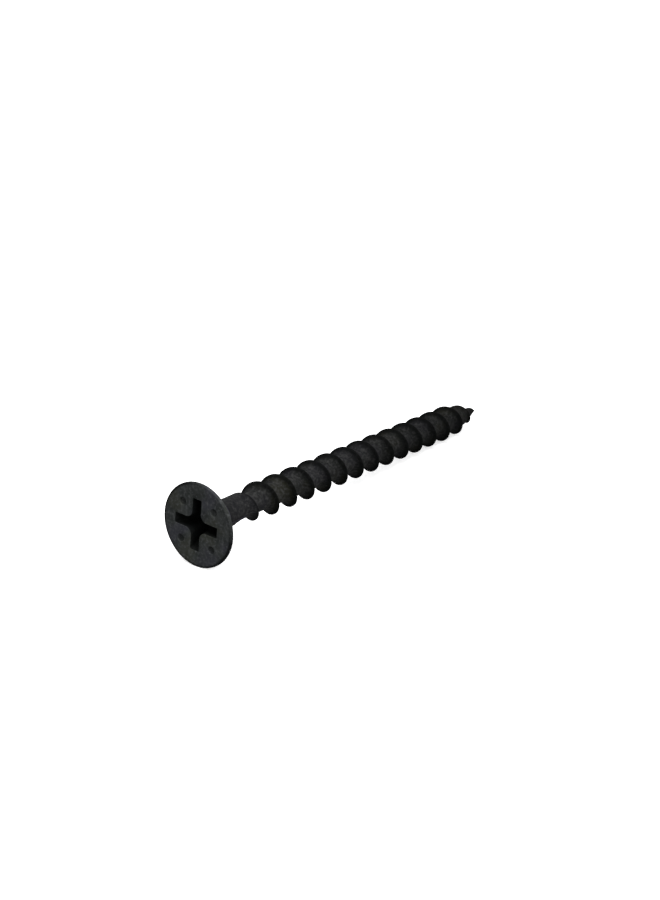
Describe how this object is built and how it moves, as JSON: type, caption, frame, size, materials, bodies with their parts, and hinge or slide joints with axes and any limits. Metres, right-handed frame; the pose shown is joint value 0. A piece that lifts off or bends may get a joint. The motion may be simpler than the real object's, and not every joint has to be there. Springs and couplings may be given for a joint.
{
  "type": "wood screw",
  "caption": "Black coarse-thread wood screw with a flat bugle head, a Phillips recess, a short plain neck and a sharp point, for fastening board or wood to a wooden frame.",
  "frame": {"origin": "middle of the head's flat face, on the screw's axis", "axes": "+X along the axis from the head to the point; two arms of the recess lie along +Z and -Z, the other two along +Y and -Y"},
  "size_m": [0.0489, 0.0082, 0.0082],
  "materials": {
    "head": "matte black phosphate over steel, slightly worn",
    "shank": "matte black phosphate over steel",
    "core": "matte black phosphate over steel",
    "thread": "satin black phosphate over rolled steel",
    "point": "satin black phosphate over rolled steel"
  },
  "bodies": {
    "root": {"head": "head", "shank": "shank", "core": "core", "thread": "thread", "point": "point"}
  },
  "joints": []
}
